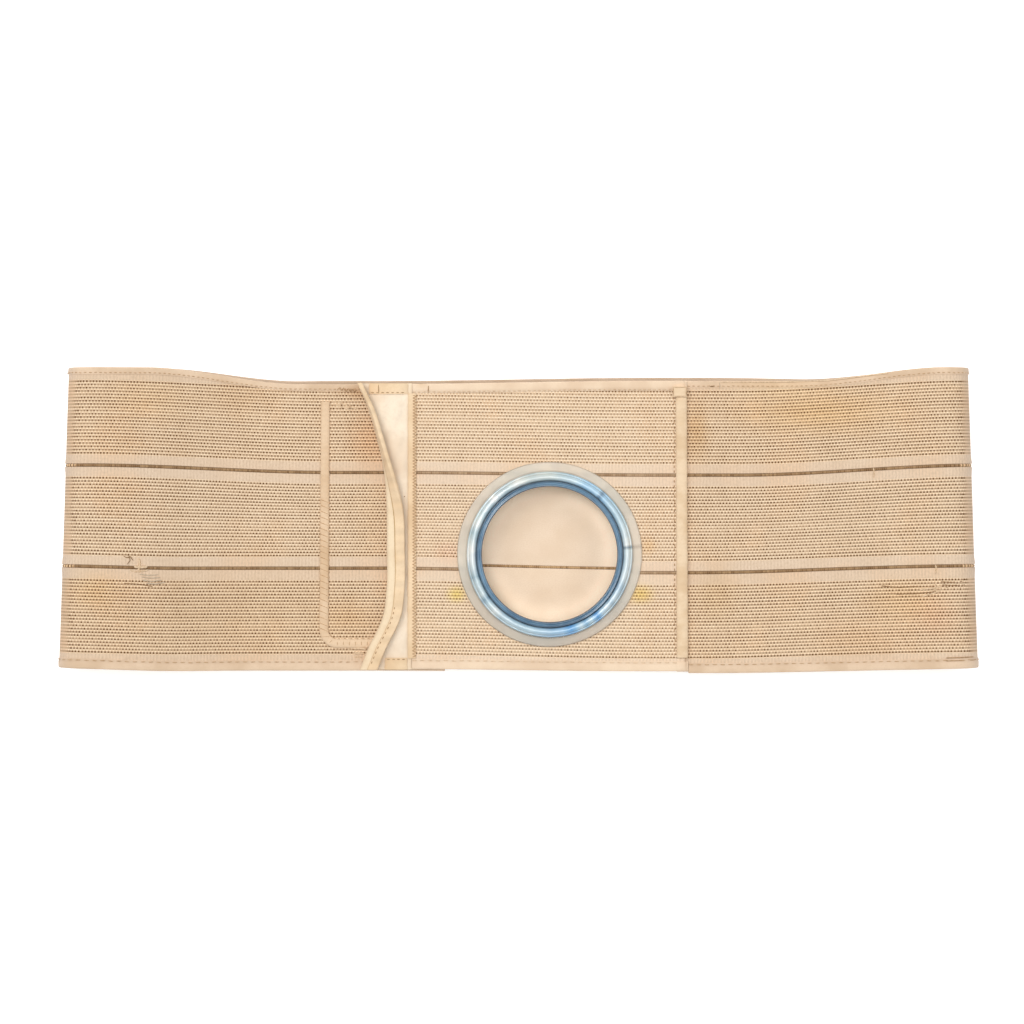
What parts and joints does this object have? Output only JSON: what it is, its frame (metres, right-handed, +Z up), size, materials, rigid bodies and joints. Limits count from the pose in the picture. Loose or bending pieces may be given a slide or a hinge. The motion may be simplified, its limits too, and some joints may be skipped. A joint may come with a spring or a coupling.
{
  "type": "ostomy support belt",
  "caption": "Wide elastic ostomy support belt, fastened into a loop and lying nearly flat, with a plastic ring for a pouch in its front panel and a closure tab with a rolled edge.",
  "frame": {"origin": "under the middle of the belt, at the lowest point, where it lies on the surface", "axes": "+X along the belt, to the wearer's left when worn; +Y to the belt's top edge; +Z up from the surface, out of the front panel"},
  "size_m": [0.476, 0.1583, 0.0298],
  "materials": {
    "elastic_web": "woven elastic with an open dotted weave",
    "panel_web": "finer, lighter woven elastic",
    "seam_thread": "dark brown joining stitches",
    "edge_binding": "folded knit binding",
    "binding_tape": "cream cotton tape",
    "tab_facing": "soft brushed cloth",
    "ring_clear": "translucent soft plastic",
    "ring_bead_clear": "translucent glossy plastic with a blue tint",
    "ring_blue": "glossy blue plastic"
  },
  "bodies": {
    "root": {"wrap_band_bottom": "elastic_web", "wrap_band_middle": "elastic_web", "wrap_band_top": "elastic_web", "wrap_seam_lower": "seam_thread", "wrap_seam_upper": "seam_thread", "wrap_binding_bottom": "edge_binding", "wrap_binding_top": "edge_binding", "panel_band_bottom": "panel_web", "panel_band_middle": "panel_web", "panel_band_top": "panel_web", "panel_binding_bottom": "edge_binding", "panel_binding_top": "edge_binding", "panel_seam_lower": "seam_thread", "panel_seam_lower_beyond_ring": "seam_thread", "panel_seam_upper": "seam_thread", "ring_flange": "ring_clear", "ring_bead": "ring_bead_clear", "ring_liner": "ring_blue", "closure_tab": "tab_facing", "closure_tab_binding": "binding_tape", "tab_joint_strip": "binding_tape", "tab_hem_bottom": "binding_tape", "tab_hem_top": "binding_tape", "hook_fastener": "tab_facing", "landing_patch_binding": "edge_binding", "panel_seam_binding": "binding_tape", "panel_seam_folded_end": "binding_tape"}
  },
  "joints": []
}
